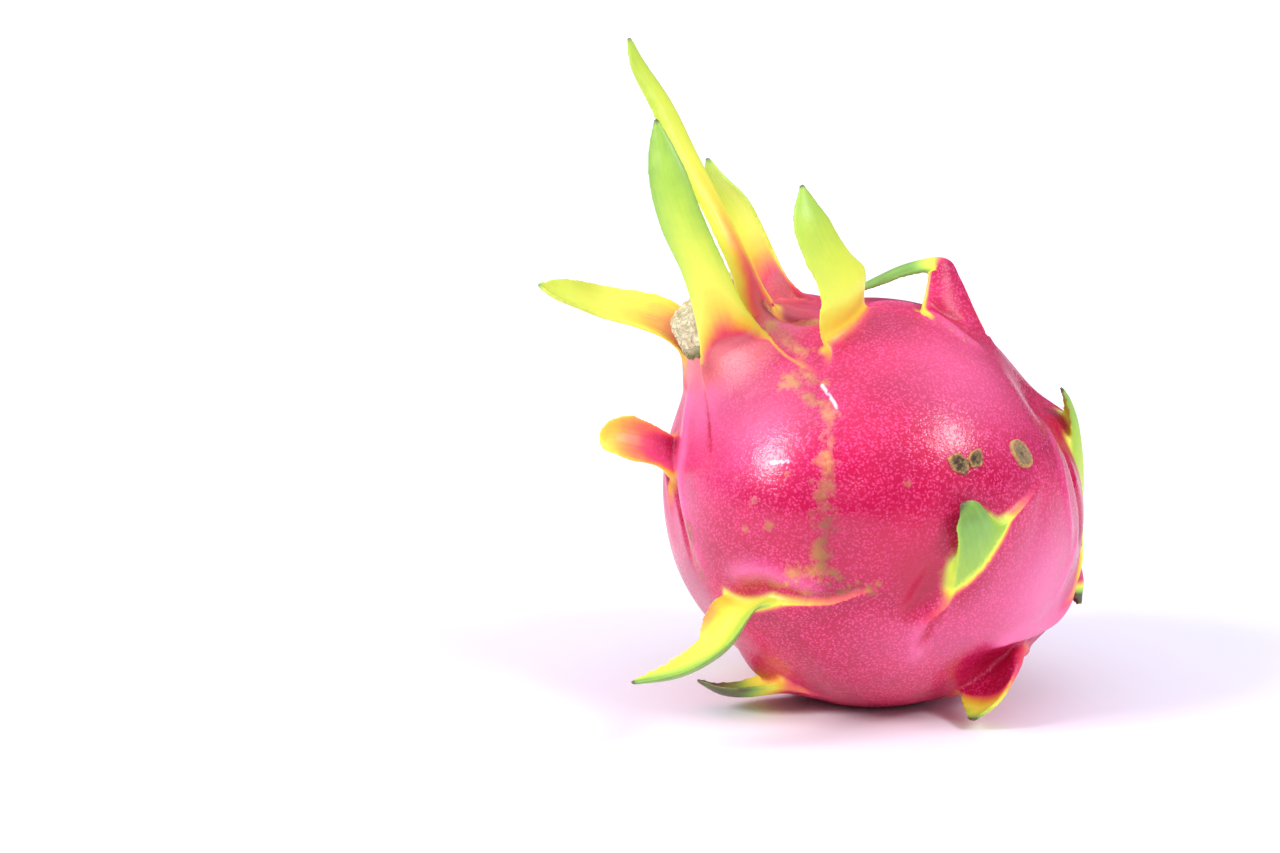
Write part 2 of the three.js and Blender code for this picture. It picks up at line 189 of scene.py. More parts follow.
# A scale's midrib points are x, y, z and the half-width there. left and right carry its
# margins on over the peel: mm to the left of the root, then mm from it to the stalk.
# colour gives the greenness (0 pink, 0.35 yellow, 0.8 green) at the root and at the tip, how
# soon it turns on the way between, and how much greener and how narrow the margins are.
# turns gives the shares of the length between which a scale turns at once, and fade how soon
# its colour is lost in the peel below the root; rims is 0 where a margin ends at the root, and
# lean is how much greener the left half is than the middle. ripest is the greenest it gets,
# and inner_shade is how much less green the inner face is at the root.
SHOWN_SCALES = (
    dict(name="tallest", drop=16, ridge=1.5, cup=0.25, colour=(-0.02, 0.72, 1.2, 0.36, 1.6),
         left=((2.5, -3.5), (8.5, 0), (16, 6)), right=((-2.5, 0), (-1, 4), (-3.5, 7.5), (-7, 10.5)),
         midrib=((-25, -13, 92.5, 6.5), (-28.5, -13, 100, 4), (-32, -13, 107.5, 3.5),
                 (-36.5, -10, 116.5, 3.5), (-42, -8, 126.5, 4), (-47.5, -6, 138, 3.5),
                 (-53, -6, 147, 2.5), (-55.5, -7, 153.5, 0.5))),
    dict(name="front", turn=-10, drop=20, ridge=1.3, colour=(-0.12, 0.82, 2.0, 0.40, 2),
         rims=(0.0, 1.0), left=((9, 0), (10.5, 6), (13, 14.5)),
         right=((-11, 5.5), (-14.5, 10), (-18, 14.5), (-21, 18.5), (-22.5, 24)),
         midrib=((-31, -16, 82.5, 8.5), (-35, -21, 92, 6), (-39, -24, 103, 5),
                 (-44, -25, 114, 5), (-47, -24, 123.5, 4.5), (-48.5, -22, 130, 3),
                 (-49.5, -20, 136.5, 0.5))),
    dict(name="long_left", turn=20, drop=14, ridge=1.4, colour=(0.12, 0.62, 1.7, 0.14, 2),
         left=((12, 3), (18, 12)), right=((-8.5, 3), (-13.5, 4), (-20, 3)),
         midrib=((-42, 4, 83.5, 9.5), (-48, 4, 86.5, 9), (-53, 5, 88, 8.5), (-62, 6, 90, 7.5),
                 (-68.5, 4, 92.5, 6), (-73.5, 2, 94.5, 4), (-76.5, 1, 96.5, 0.5))),
    dict(name="behind", drop=14, ridge=1.6, cup=0.35, colour=(-0.14, 0.72, 1.9, 0.20, 4),
         left=((12, 3), (20, 12)), right=((-12, 3), (-20, 12)),
         midrib=((-19, 6, 92, 8), (-22.5, 11, 98.5, 6.5), (-26, 13, 105.5, 7),
                 (-30, 14, 113.5, 6.5), (-34.5, 14, 119, 4.5), (-37.5, 13, 124.5, 0.5))),
    dict(name="shoulder", turn=-12, drop=14, ridge=2, colour=(0.26, 0.80, 1.4, 0.06, 3),
         left=((7.5, 0), (11, 2.5), (16, 3.5)), right=((-11, -2), (-14.5, 0), (-20, 3), (-22.5, 9.5)),
         midrib=((-6.5, -20, 89.5, 8.5), (-6, -25, 98, 9), (-9, -27, 104, 6.5),
                 (-12, -28, 109, 6), (-15, -28, 115.5, 5), (-17.5, -25, 122.5, 0.5))),
    dict(name="folded", turn=-75, drop=10, colour=(-0.08, 0.90, 1.0, 0.55, 8), turns=(0.34, 0.62),
         left=((6.5, 2), (2, 7)), right=((-12, -5), (-18, 2)),
         midrib=((18.5, -8, 89, 9), (18, -5, 94, 6.5), (17, -3, 98.5, 4.5), (16.5, -2, 101.5, 3),
                 (14, -1, 102, 3), (7.5, -1, 100.5, 2.6), (2, -1.7, 98.3, 2.1), (-4, -2.5, 95.6, 1))),
    dict(name="right_side", cup=0.55, colour=(0.45, 0.84, 1.4, 0.08, 2), inner_shade=0.75,
         left=((9, 3), (16, 9), (24, 16)), right=((-12, 3), (-18, 9)),
         midrib=((48.5, 3, 36, 6.5), (49.5, 3, 45.5, 6), (49.5, 3, 54.5, 5.5), (48.5, 3, 63, 4),
                 (46.5, 1, 69, 2), (44, -2, 73, 0.5))),
    dict(name="right_low", turn=180, drop=8, ridge=1.2, cup=0.85, colour=(0.00, 1.10, 1.0, 0.06, 6),
         turns=(0.45, 0.9), ripest=1.1, left=((7, 3), (8, 8)), right=((-7, 3), (-8, 8)),
         midrib=((48.5, 3, 33, 5.5), (51, 3, 30, 5), (51, 3, 26.5, 4), (50.5, 3, 23, 3),
                 (50.5, 2, 20.5, 1))),
    dict(name="flap", turn=10, ridge=2.2, cup=0.15, colour=(0.78, 0.92, 1.4, -0.12, 12),
         rims=(0.28, 0.36), fade=18, left=((12.5, 2.5), (18, 2.5), (21, 2), (26, 4.5)),
         right=((-10, -0.5), (-15, 1), (-20.5, 3), (-27.5, 5.5)),
         midrib=((21, -44, 43, 9.5), (21, -47.5, 47, 6), (19.5, -49.5, 51, 5),
                 (18, -50.5, 54.5, 3.5), (16, -51, 56.5, 0.5))),
    dict(name="low_left", turn=-25, ridge=2.2, cup=0.75, colour=(0.62, 0.92, 1.3, 0.04, 4),
         rims=(0.5, 0.5), fade=12, lean=-0.42, inner_shade=0.20, left=((8, 4), (9, 11)),
         right=((-8.5, -2), (-15, -1.5), (-24, -0.5), (-35, -2.5), (-49, -2.5)),
         midrib=((-30, -37, 30.5, 7), (-33.5, -44, 25, 5.5), (-37.5, -48, 21.5, 4),
                 (-45, -50, 18, 3), (-55, -50, 16, 0.5))),
    # This scale's dark olive is partly painted shade, as it lies in the shadow under the fruit, and partly
    # its own withering.
    dict(name="under_left", drop=12, ridge=1.2, colour=(0.06, 0.99, 1.0, 0.10, 8), turns=(0.05, 0.55),
         ripest=1.0, left=((12, 4), (18, 12)), right=((-9, 1), (-13, 8)),
         midrib=((-19.5, -14, 4, 8.5), (-26.5, -16, 4, 7.5), (-34, -17, 4.5, 5.5),
                 (-40, -17, 7.5, 0.5))),
    dict(name="under_right", drop=12, colour=(-0.10, 0.86, 1.0, 0.28, 7), turns=(0.25, 1.1),
         left=((13.5, 5.5), (18, 5.5), (22.5, 0)), right=((-8, 6.5), (-15, 7.5), (-21, 8)),
         midrib=((29, -22, 10.5, 10), (27, -27, 7.5, 8.5), (24.5, -30, 4.5, 6), (21.5, -33, 2.5, 1))),
    dict(name="curled", turn=-50, drop=12, cup=0.5, colour=(0.02, 0.30, 1.0, 0.26, 4),
         left=((7.5, 3), (9, 12)), right=((-8, 3), (-12, 12)),
         midrib=((-47.5, -10, 58, 5.5), (-51, -14, 61, 5), (-55.5, -16, 62.5, 6),
                 (-58.5, -17, 63.2, 5), (-60.5, -17.3, 62.8, 3.2), (-61.8, -17.3, 62, 0.9))),
)
# The scales of the far side follow the same spiral: degrees from the crown, degrees round
# it from the viewer, length, half-width, and how far the blade lifts off and curls back.
FAR_SCALES = (
    (45, 170, 17, 6.5, 12, 20), (66, -162, 24, 8, 28, -30), (80, 165, 24, 8, 28, 5),
    (96, -150, 25, 9, 35, -25), (114, 132, 17, 7, 16, -10), (108, -112, 16, 6, 12, -10),
    (124, 176, 22, 8.5, 40, 25), (146, 150, 13, 5.5, 35, 20),
)
FRONT = unit(np.array((0.0, -1.0, 0.0)) - CROWN_AXIS * -CROWN_AXIS[1])
SIDE = np.cross(CROWN_AXIS, FRONT)


def far_scale(number, from_crown, round_crown, length, half, lift, curl):
    """A scale of the far side, in the terms of the shown ones."""
    theta, phi = math.radians(from_crown), math.radians(round_crown)
    level = FRONT * math.cos(phi) + SIDE * math.sin(phi)
    d = CROWN_AXIS * math.cos(theta) + math.sin(theta) * level
    up = unit(CROWN_AXIS - d * (CROWN_AXIS @ d))
    place = on_peel(BODY_CENTRE + d)
    narrowing = (0.82, 0.62, 0.4, 0.05)
    midrib = [(*place, half)]
    for i, share in enumerate(narrowing):
        rise = math.radians(lift + curl * i / len(narrowing))
        place = place + length / len(narrowing) * (math.cos(rise) * up + math.sin(rise) * d)
        midrib.append((*place, half * share))
    margin = ((half + 4, 2), (half + 11, 9))
    return dict(name=f"far_{number}", ridge=1.5, cup=0.35, colour=(0.04, 0.90, 1.4, 0.26, 3),
                left=margin, right=tuple((-across, down) for across, down in margin), midrib=midrib)


class Curve:
    """A Catmull-Rom curve through points, read by its share of arc length."""

    def __init__(self, points):
        p = np.asarray(points, float)
        self.p = np.vstack([2 * p[0] - p[1], p, 2 * p[-1] - p[-2]])
        self.t = np.linspace(0, 1, 400)
        steps = np.linalg.norm(np.diff(self.at(self.t), axis=0), axis=1)
        self.run = np.concatenate([[0], np.cumsum(steps)])
        self.length = self.run[-1]

    def at(self, t):
        """The points at times from 0 to 1, which pass evenly from one given point to the next."""
        t = np.clip(np.asarray(t, float), 0, 1) * (len(self.p) - 3)
        i = np.minimum(t.astype(int), len(self.p) - 4)
        w = (t - i)[..., None]
        a, b, c, d = (self.p[i + k] for k in range(4))
        return 0.5 * (2 * b + (c - a) * w + (2 * a - 5 * b + 4 * c - d) * w ** 2
                      + (3 * b - a - 3 * c + d) * w ** 3)

    def time(self, share):
        """The time at which a share of the arc length is run."""
        return np.interp(np.clip(share, 0, 1) * self.length, self.run, self.t)

    def tangent(self, t):
        return unit(self.at(min(t + 1e-3, 1)) - self.at(max(t - 1e-3, 0)))


def turned(v, axis, degrees):
    """v turned about an axis."""
    a = math.radians(degrees)
    return v * math.cos(a) + np.cross(axis, v) * math.sin(a) + axis * (axis @ v) * (1 - math.cos(a))


ACROSS = np.sin(np.linspace(-math.pi / 2, math.pi / 2, 21))     # denser at the margins
MARKS = ("green", "across_mm", "along_mm", "inner")     # what each point of a scale carries
FLARE_RINGS, LIFT_RINGS, BLADE_STEP = 24, 8, 1.0
SOFTENINGS = 14                 # rounds of evening out a scale's rings about its root, which
SOFT_FLARE = 0.45               # reach down over this share of its drop,
SOFT_BLADE, SOFT_FADE = 12.0, 8.0       # and these mm up the blade, fading over the last of them
RIM_WIDTH = 0.6                 # mm of the margin that stays yellow where it runs on the peel
WITHERED, WITHER_GAIN = 1.3, 0.3        # mm of the tip that is dry, and how much riper it reads


def scale_shape(name, colour, left, right, midrib, turn=0, drop=13, ridge=1.8, cup=0.3,
                inner_shade=0.1, turns=None, fade=6, rims=(1.0, 1.0), lean=0.0, ripest=0.9):
    """The rings of a scale, and what the peel's finish reads of each of its points."""
    midrib = np.asarray(midrib, float)
    rib = Curve(midrib[:, :3])
    widths = Curve(np.column_stack([midrib[:, 3], np.arange(len(midrib))]))
    root = midrib[0, :3]
    out = unit(root - BODY_CENTRE)
    up = turned(unit(CROWN_AXIS - out * (CROWN_AXIS @ out)), out, turn)
    leftward = np.cross(out, up)
    margins = [Curve([(start, 0), *line]) for start, line in ((midrib[0, 3], left), (-midrib[0, 3], right))]
    root_green, tip_green, haste, rim_gain, rim_power = colour
    rim_green = root_green + rim_gain
    v = ACROSS[:, None]
    rings, marks = [], []

    def add_ring(outer, inner, green, across_mm, along_mm, inner_less):
        """What runs across the ring is given for the outer face; the inner face mirrors it."""
        rings.append(np.vstack([outer, inner[::-1]]))
        face = np.repeat([0.0, 1.0], len(ACROSS))
        green, across_mm = (np.concatenate([row, row[::-1]]) for row in (green, across_mm))
        along = np.full(len(face), along_mm)
        marks.append(np.column_stack([green - inner_less * face, across_mm, along, face]))

    # the flare, from its ends on the peel up to the root: x runs from 1 to near 0
    for x in 1 - np.arange(FLARE_RINGS) / FLARE_RINGS:
        (l_across, l_down), (r_across, r_down) = (m.at(m.time(x)) for m in margins)
        to_left, to_right, to_middle = (v * v + v) / 2, (v * v - v) / 2, 1 - v * v
        place = (root + leftward * (to_left * l_across + to_right * r_across)
                 - up * (to_middle * drop * x + to_left * l_down + to_right * r_down))
        middle = ridge * (1 - x) - ROOT_DEPTH * x
        edge = ridge * (1 - x) ** 0.8 - ROOT_DEPTH * x
        crest = (middle + (edge - middle) * v * v)[:, 0]
        width = np.where(ACROSS > 0, abs(l_across), abs(r_across))
        rim = np.where(ACROSS > 0, *rims) * np.exp(-(((1 - np.abs(ACROSS)) * width / RIM_WIDTH) ** 2))
        green = root_green * (1 - x) ** fade * (1 - rim) + rim_green * (1 - x) ** 1.2 * rim
        add_ring(on_peel(place, crest), on_peel(place, crest - THICK_ROOT - 1), green,
                 ACROSS * width, -x * drop, inner_shade)

    # the blade, from the root to the tip: q is the run along the midrib
    free = np.arange(LIFT_OFF, rib.length, BLADE_STEP)
    side = leftward
    for q in (*(LIFT_OFF * np.arange(LIFT_RINGS) / LIFT_RINGS), *free, rib.length):
        s = min(q / rib.length, 1)
        t = rib.time(s)
        along = rib.tangent(t)
        side = across = unit(side - along * (side @ along))
        outer = np.cross(along, across)
        half = max(widths.at(t)[0], 0.3)
        thick = THICK_ROOT + (THICK_TIP - THICK_ROOT) * math.sqrt(s)
        thickness = BLADE_EDGE + (thick - BLADE_EDGE) * (1 - v * v)
        sheet = rib.at(t) + across * v * half - outer * cup * half * v * v
        hug = root + up * q + leftward * v * half
        free_share = smooth(q / LIFT_OFF)
        faces = []
        for sign, height in ((1, ridge), (-1, ridge - thick - 1)):
            blade = sheet + outer * sign * thickness / 2
            faces.append(on_peel(hug, np.full(len(v), height)) * (1 - free_share) + blade * free_share)
        turning = smooth((s - turns[0]) / (turns[1] - turns[0])) if turns else 1 - (1 - s) ** haste
        green = root_green + (tip_green - root_green) * turning + lean * free_share * ACROSS
        green = green + rim_gain * (1 - s) * np.abs(ACROSS) ** rim_power
        green = np.minimum(green, ripest) + WITHER_GAIN * smooth((q - rib.length) / WITHERED + 1)
        add_ring(*faces, green, ACROSS * half, q, inner_shade * (1 - s))
    rings, marks = np.array(rings), np.array(marks)
    run = marks[:, 0, MARKS.index("along_mm")]
    on_flare, on_blade = smooth(1 + run / (SOFT_FLARE * drop)), smooth((SOFT_BLADE - run) / SOFT_FADE)
    softness = np.where(run < 0, on_flare, on_blade)[1:-1, None, None]
    for _ in range(SOFTENINGS):
        rings[1:-1] += softness * (0.5 * (rings[:-2] + rings[2:]) - rings[1:-1])
    return rings, marks


def lofted(rings):
    """Vertices and faces of a closed skin over a row of rings."""
    count, n = rings.shape[:2]
    faces = []
    for r in range(count - 1):
        for i in range(n):
            a, b = r * n + i, r * n + (i + 1) % n
            faces.append((a, a + n, b + n, b))
    last = (count - 1) * n
    for i in range(n // 2 - 1):
        faces.append((i, i + 1, n - 2 - i, n - 1 - i))
        faces.append((last + i, last + n - 1 - i, last + n - 2 - i, last + i + 1))
    return rings.reshape(-1, 3), faces


def mesh_object(name, vertices, faces):
    """A linked object whose mesh has these vertices, in millimetres."""
    mesh = bpy.data.meshes.new(name)
    mesh.from_pydata((np.asarray(vertices) * MM).tolist(), [], faces)
    return linked(name, mesh)


def settled(source, name):
    """A new object whose plain mesh is what this one's modifiers make of it."""
    depsgraph = bpy.context.evaluated_depsgraph_get()
    mesh = bpy.data.meshes.new_from_object(source.evaluated_get(depsgraph))
    return linked(name, mesh)


def vertices_of(mesh):
    """A mesh's vertices, in millimetres."""
    flat = np.empty(len(mesh.vertices) * 3)
    mesh.vertices.foreach_get("co", flat)
    return flat.reshape(-1, 3) / MM


def place_vertices(mesh, vertices):
    """Moves a mesh's vertices to places in millimetres."""
    mesh.vertices.foreach_set("co", (vertices * MM).ravel())
    mesh.update()


def write_attribute(mesh, name, values):
    """Gives each vertex a number that the material reads."""
    mesh.attributes.new(name, "FLOAT", "POINT").data.foreach_set("value", np.asarray(values, float))


scale_points, scale_faces, scale_marks, offset = [], [], [], 0
for scale in (*SHOWN_SCALES, *(far_scale(i + 1, *row) for i, row in enumerate(FAR_SCALES))):
    rings, marks = scale_shape(**scale)
    points, faces = lofted(rings)
    scale_points.append(points)
    scale_marks.append(marks.reshape(-1, marks.shape[-1]))
    scale_faces += [tuple(i + offset for i in face) for face in faces]
    offset += len(points)
scale_points = np.vstack(scale_points)
scale_marks = np.vstack(scale_marks)
scales = mesh_object("scales_apart", scale_points, scale_faces)
for column, name in enumerate(MARKS):
    write_attribute(scales.data, name, scale_marks[:, column])

ball = bmesh.new()
bmesh.ops.create_icosphere(ball, subdivisions=7, radius=1.0)
body_points = on_peel(np.array([v.co[:] for v in ball.verts]) + BODY_CENTRE)
body_faces = [tuple(v.index for v in f.verts) for f in ball.faces]
ball.free()
whole = mesh_object("body_and_scales", np.vstack([body_points, scale_points]),
                    body_faces + [tuple(i + len(body_points) for i in face) for face in scale_faces])

fused = mesh_object("fusing", np.zeros((0, 3)), [])
fused.data = whole.data.copy()
remesh = fused.modifiers.new("fuse", "REMESH")
remesh.mode = "VOXEL"
remesh.voxel_size = VOXEL * MM * 1.0
wrap = fused.modifiers.new("back_to_true_surface", "SHRINKWRAP")
wrap.target = whole
wrap.wrap_method = "NEAREST_SURFACEPOINT"
fruit = settled(fused, "fruit_peel")
bpy.data.objects.remove(fused)


def neighbour_mean(mesh, values):
    """The mean over each vertex's neighbours."""
    edges = np.empty(len(mesh.edges) * 2, int)
    mesh.edges.foreach_get("vertices", edges)
    a, b = edges.reshape(-1, 2).T
    count = np.bincount(a, minlength=len(values)) + np.bincount(b, minlength=len(values))
    columns = [np.bincount(a, values[b, k], len(values)) + np.bincount(b, values[a, k], len(values))
               for k in range(values.shape[1])]
    return np.column_stack(columns) / count[:, None]


def normals_of(mesh):
    """A mesh's vertex normals."""
    flat = np.empty(len(mesh.vertices) * 3)
    mesh.vertex_normals.foreach_get("vector", flat)
    return flat.reshape(-1, 3)


# Where a scale meets the peel the crease is filled into a soft hollow, while crests and the
# margins of the free blades stay crisp.
SEAM_REACH, SEAM_HEIGHT = 4.0, 1.0      # mm about this height over the peel where creases are filled
EASINGS, EASE_EVERYWHERE, EASE_IN_CREASES = 30, 0.10, 0.70
FULL_HOLLOW = 0.02                      # mm of bend to its neighbours at which a place eases fully
points = vertices_of(fruit.data)
for i in range(EASINGS):
    if i % 5 == 0:
        place_vertices(fruit.data, points)
        normals = normals_of(fruit.data)
    pull = neighbour_mean(fruit.data, points) - points
    outward = points - BODY_CENTRE
    height = np.linalg.norm(outward, axis=1) - towards(unit(outward))
    hollow = np.clip((pull * normals).sum(axis=1) / FULL_HOLLOW, 0, 1)
    near = smooth(1 - np.abs(height - SEAM_HEIGHT) / SEAM_REACH)
    ease = EASE_EVERYWHERE + EASE_IN_CREASES * near * hollow
    points = points + ease[:, None] * pull

# Folds and creases that the scales draw over the peel: how high (creases below zero), how
# wide to one side, how much deeper their colour is (paler below zero), and their way. That
# colour is painted shade darkening the creases and a painted highlight paling the crests.
FOLDS = (
    # from the low right scale up to the right side, and under it
    (1.3, 2.2, -0.7, ((46.8, -10.6, 30.4), (41, -14.6, 22.2), (30.5, -31.5, 21.5), (24, -33.5, 19))),
    (-0.8, 2.4, 0.9, ((37, -24, 17.5), (31, -27, 15.5), (25, -31, 13.5))),
    (0.8, 1.5, -0.5, ((38.8, -15, 16.4), (29.6, -16.3, 10), (18.3, -15.5, 3.4))),
    (-0.5, 1.2, 1.0, ((24, -30, 9), (33, -24, 13), (39, -18, 19))),
    # down the right side
    (0.8, 1.3, -0.4, ((40, 0, 69), (40, -17.8, 63.8), (42.5, -24.8, 51.5), (44.3, -20.9, 36.7))),
    (-1.0, 1.8, 0.9, ((43, -4, 64), (44.5, -14, 55), (46.5, -14, 45), (47, -12, 36))),
    (0.5, 1.2, -0.5, ((45, -17, 44), (44, -21, 35), (40, -26, 26))),
    # neck and left side
    (0.5, 1.6, -0.9, ((-41.2, -9.8, 76.1), (-42.3, -10.4, 69.3), (-43.1, -14.4, 63.1), (-43, -19, 56))),
    (-0.3, 0.55, 0.6, ((-38.1, -14.9, 77.5), (-37.9, -17.6, 72.9), (-37.6, -23.3, 67.1), (-37, -28.9, 61.5))),
    (-0.9, 1.0, 0.9, ((-44.5, -5.7, 64.9), (-45.2, -8, 60.7), (-45.5, -10.8, 56.3), (-44.9, -15.2, 51.7),
                      (-43, -20, 43.5), (-39.5, -21.6, 32))),
    (0.5, 1.5, -0.6, ((-45, -12.5, 65), (-44, -18, 54), (-41.5, -24, 43), (-37, -27, 33))),
    # beside the flap
    (1.0, 1.5, -0.5, ((14.7, -45.4, 38.1), (11.9, -43.7, 32), (8.9, -43.4, 26.1), (6.8, -37.3, 15.3))),
    (-0.9, 2.4, 1.2, ((11.7, -47.7, 44), (9.8, -46.2, 38.8), (7.1, -45, 33.9), (3.5, -45, 28.1))),
    (-0.4, 1.0, 0.8, ((13.6, -44, 33.2), (10.7, -43.4, 28.1), (7.9, -41.5, 21.2))),
    # arch over the low left scale
    (1.1, 2.4, -0.8, ((-35, -32, 36), (-26.7, -41.7, 39.4), (-20, -44.7, 38), (-9.4, -46, 36))),
    (-0.5, 1.6, 0.3, ((-31, -37, 34), (-24, -42.5, 35), (-15, -46, 34.5))),
    # behind the tall pair
    (0.8, 1.2, -0.5, ((-23.5, -0.6, 96.6), (-20, 0.2, 94), (-15, 3, 92.8), (-8, 3, 92))),
    (-1.7, 1.3, 1.6, ((-27.4, -1.7, 95.6), (-25.8, -8.1, 93.3), (-23.2, -11.2, 91.5), (-19.2, -13.1, 90.2),
                      (-14.3, -13.7, 90.1), (-10.2, -13.5, 90.5))),
    (1.0, 1.2, -0.5, ((-24, -14, 90), (-20, -16, 88.6), (-15, -17, 88.2), (-11, -15.5, 89.5))),
    (0.9, 1.1, -0.3, ((-22, -6, 93.4), (-17, -9, 91.8), (-12, -9.5, 91.4))),
    # foot of the folded scale
    (0.6, 1.1, -0.5, ((-2.1, -7.5, 92.5), (2.7, -3.7, 92.9), (7.6, -2.5, 92.5), (13.3, -3.4, 91.2))),
    (0.7, 1.4, -0.3, ((10, -10, 92.5), (18, -14, 88.5), (27, -15, 83))),
    (-0.7, 0.8, 0.7, ((12, -6, 92), (16, -8, 90.6), (21, -8, 88.4))),
    (-0.6, 0.8, 0.7, ((14, -9, 91), (19, -11, 88.6), (25, -11, 85.4))),
    (-0.6, 1.5, 0.5, ((8, -6, 93), (15, -8, 91.5), (22, -9.5, 88))),
    # and on the far side, between the scales' roots
    (0.7, 2.0, -0.5, ((-30, 38, 62), (-38, 30, 48), (-38, 26, 34))),
    (-0.8, 2.0, 0.6, ((5, 47, 56), (-4, 48, 44), (-8, 46, 34))),
    (0.7, 2.0, -0.5, ((28, 36, 66), (36, 32, 52), (40, 28, 40))),
    (-0.7, 1.8, 0.6, ((20, 44, 58), (26, 41, 45), (28, 36, 32))),
)


WAY_STEPS = 24


def along_way(places, way):
    """Distance over the peel from places to a way over it, and their share of the way."""
    line = on_peel(Curve(way).at(np.linspace(0, 1, WAY_STEPS + 1)))
    away, share = np.full(len(places), 1e3), np.zeros(len(places))
    for k, (start, step) in enumerate(zip(line[:-1], np.diff(line, axis=0))):
        t = np.clip(((places - start) @ step) / (step @ step), 0, 1)
        far = np.linalg.norm(places - start - t[:, None] * step, axis=1)
        nearer = far < away
        away[nearer], share[nearer] = far[nearer], (k + t[nearer]) / WAY_STEPS
    return away, share


def away_from(at, places):
    """Distance from places on the peel to the one over a point."""
    return np.linalg.norm(places - on_peel(np.array(at)), axis=1)


def fold_strength(feet, half, way):
    """1 on the way, fading to 0 beside it and over the quarters at its ends."""
    strength = np.zeros(len(feet))
    middle = np.mean(way, axis=0)
    reach = max(np.linalg.norm(np.array(p) - middle) for p in way) + 4 * half
    close = np.flatnonzero(np.linalg.norm(feet - middle, axis=1) < reach)
    away, share = along_way(feet[close], way)
    strength[close] = np.exp(-((away / half) ** 2)) * smooth(share / 0.25) * smooth((1 - share) / 0.25)
    return strength


def above_peel(points):
    """The feet of points on the bare peel, how high they are over them, and which way is out."""
    outward = points - BODY_CENTRE
    direction = unit(outward)
    reach = towards(direction)
    return BODY_CENTRE + direction * reach[:, None], np.linalg.norm(outward, axis=1) - reach, direction


WARTS = (       # corky ones, in a row over the low left scale's margin
    (-20.2, -44, 37.3), (-17.8, -44.6, 38.2), (-15.4, -45.4, 37.2), (-13.6, -45.6, 38.4), (-11.6, -46, 37.6),
    (-9.4, -46, 38.6), (-7.2, -45.9, 37.2), (-5.4, -46.6, 38.2), (-3.3, -47.2, 37.3), (-1.2, -47.5, 38),
)
WART_RISE, WART_RADIUS = 0.5, 0.8
BARE_HEIGHT, BLADE_HEIGHT = 2.0, 5.0    # mm over the peel between which folds die out on a blade

feet, height, direction = above_peel(points)
low = smooth((BLADE_HEIGHT - height) / (BLADE_HEIGHT - BARE_HEIGHT))
for at in WARTS:
    points = points + direction * (WART_RISE * np.exp(-((away_from(at, feet) / WART_RADIUS) ** 2)))[:, None]
for rise, half, depth, way in FOLDS:
    points = points + direction * (rise * low * fold_strength(feet, half, way))[:, None]
points[:, 2] = np.maximum(points[:, 2], 0.0)
place_vertices(fruit.data, points)

triangles = sum(len(p.vertices) - 2 for p in fruit.data.polygons)
if triangles > MOST_TRIANGLES:
    thin = fruit.modifiers.new("thin_out", "DECIMATE")
    thin.ratio = MOST_TRIANGLES / triangles
    thinned = settled(fruit, "fruit_peel_thinned")
    bpy.data.objects.remove(fruit)
    fruit = thinned
    fruit.name = "fruit_peel"

# The scales' marks are carried over to the fused skin from the nearest place on them, with
# how far off that is.
carry = bpy.data.node_groups.new("carry_marks", "GeometryNodeTree")
carry.interface.new_socket("Geometry", in_out="INPUT", socket_type="NodeSocketGeometry")
scales_socket = carry.interface.new_socket("Scales", in_out="INPUT", socket_type="NodeSocketObject")
carry.interface.new_socket("Geometry", in_out="OUTPUT", socket_type="NodeSocketGeometry")
carry_in = node(carry, "NodeGroupInput")
source = node(carry, "GeometryNodeObjectInfo", {"Object": carry_in.outputs["Scales"]}, "Geometry")
carried = {}
for name in MARKS:
    value = node(carry, "GeometryNodeInputNamedAttribute", {"Name": name}, "Attribute", data_type="FLOAT")
    carried[name] = node(carry, "GeometryNodeSampleNearestSurface", {"Mesh": source, "Value": value}, "Value")
carried["gap"] = node(carry, "GeometryNodeProximity", [source], "Distance", target_element="FACES")
skin = carry_in.outputs["Geometry"]
for name, value in carried.items():
    skin = node(carry, "GeometryNodeStoreNamedAttribute", {"Geometry": skin, "Name": name, "Value": value},
                "Geometry", data_type="FLOAT", domain="POINT")
node(carry, "NodeGroupOutput", {"Geometry": skin})
carrier = fruit.modifiers.new("carry_marks", "NODES")
carrier.node_group = carry
carrier[scales_socket.identifier] = scales
marked = settled(fruit, "fruit_peel_marked")
bpy.data.objects.remove(fruit)
for spare in (scales, whole):
    bpy.data.objects.remove(spare)
fruit = marked
fruit.name = "fruit_peel"
fruit.data.shade_smooth()


def read_attribute(mesh, name):
    """The numbers that a mesh's vertices carry."""
    values = np.empty(len(mesh.vertices))
    mesh.attributes[name].data.foreach_get("value", values)
    return values
